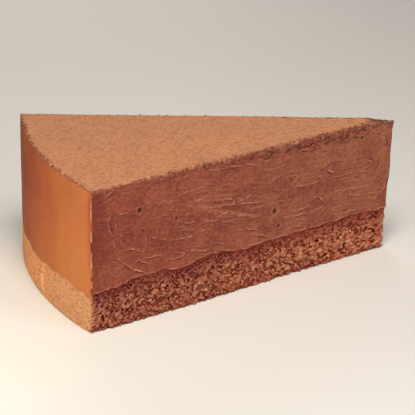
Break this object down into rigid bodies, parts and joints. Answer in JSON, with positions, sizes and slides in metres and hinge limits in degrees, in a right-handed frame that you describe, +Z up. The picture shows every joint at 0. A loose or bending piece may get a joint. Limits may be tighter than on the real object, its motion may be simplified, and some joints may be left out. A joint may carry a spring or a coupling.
{
  "type": "chocolate mousse cake slice",
  "caption": "Wedge slice of chocolate mousse cake: porous chocolate sponge base, set mousse with knife-cut sides and a moulded rim, cocoa-dusted top; rests flat on its base.",
  "frame": {"origin": "middle of the slice's box, on the plane that the base rests on", "axes": "+X from the moulded rim to the tip, +Z up from the sponge to the cocoa, +Y across the slice to the far cut side"},
  "size_m": [0.116, 0.071, 0.0436],
  "materials": {
    "chocolate_sponge": "rough open crumb, dry, no shine",
    "chocolate_mousse": "satin, smeared by the knife on the cut sides and smooth on the rim",
    "cocoa_powder": "fine dry powder, fully matte"
  },
  "bodies": {
    "root": {"sponge_base": "chocolate_sponge", "mousse_layer": "chocolate_mousse", "cocoa_dusting": "cocoa_powder"}
  },
  "joints": []
}
